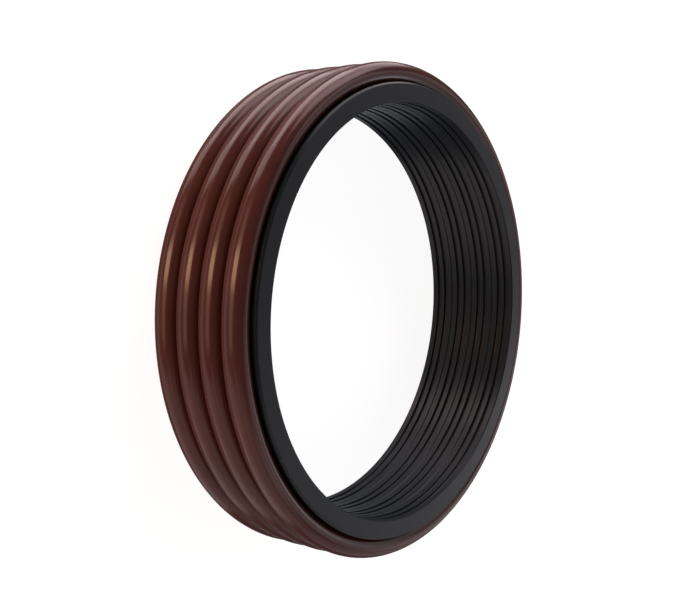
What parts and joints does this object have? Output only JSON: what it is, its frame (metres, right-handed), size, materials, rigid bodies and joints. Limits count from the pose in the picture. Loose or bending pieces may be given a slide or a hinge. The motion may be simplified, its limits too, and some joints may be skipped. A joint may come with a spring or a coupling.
{
  "type": "rotary shaft seal",
  "caption": "Stack of narrow rotary shaft seals: black plastic running rings with oil grooves in the bore, each loaded by a brown rubber o-ring round its back.",
  "frame": {"origin": "on the shaft axis at the stack's lowest face", "axes": "+Z along the shaft axis, up through the stack; X and Y across it"},
  "size_m": [0.0749, 0.0748, 0.0166],
  "materials": {
    "ring_plastic": "near-black filled sealing plastic with fine turning marks, dull sheen",
    "o_ring_rubber": "smooth moulded red-brown rubber, satin"
  },
  "bodies": {
    "root": {"seal_ring_1": "ring_plastic", "seal_ring_2": "ring_plastic", "seal_ring_3": "ring_plastic", "seal_ring_4": "ring_plastic", "o_ring_1": "o_ring_rubber", "o_ring_2": "o_ring_rubber", "o_ring_3": "o_ring_rubber", "o_ring_4": "o_ring_rubber"}
  },
  "joints": []
}
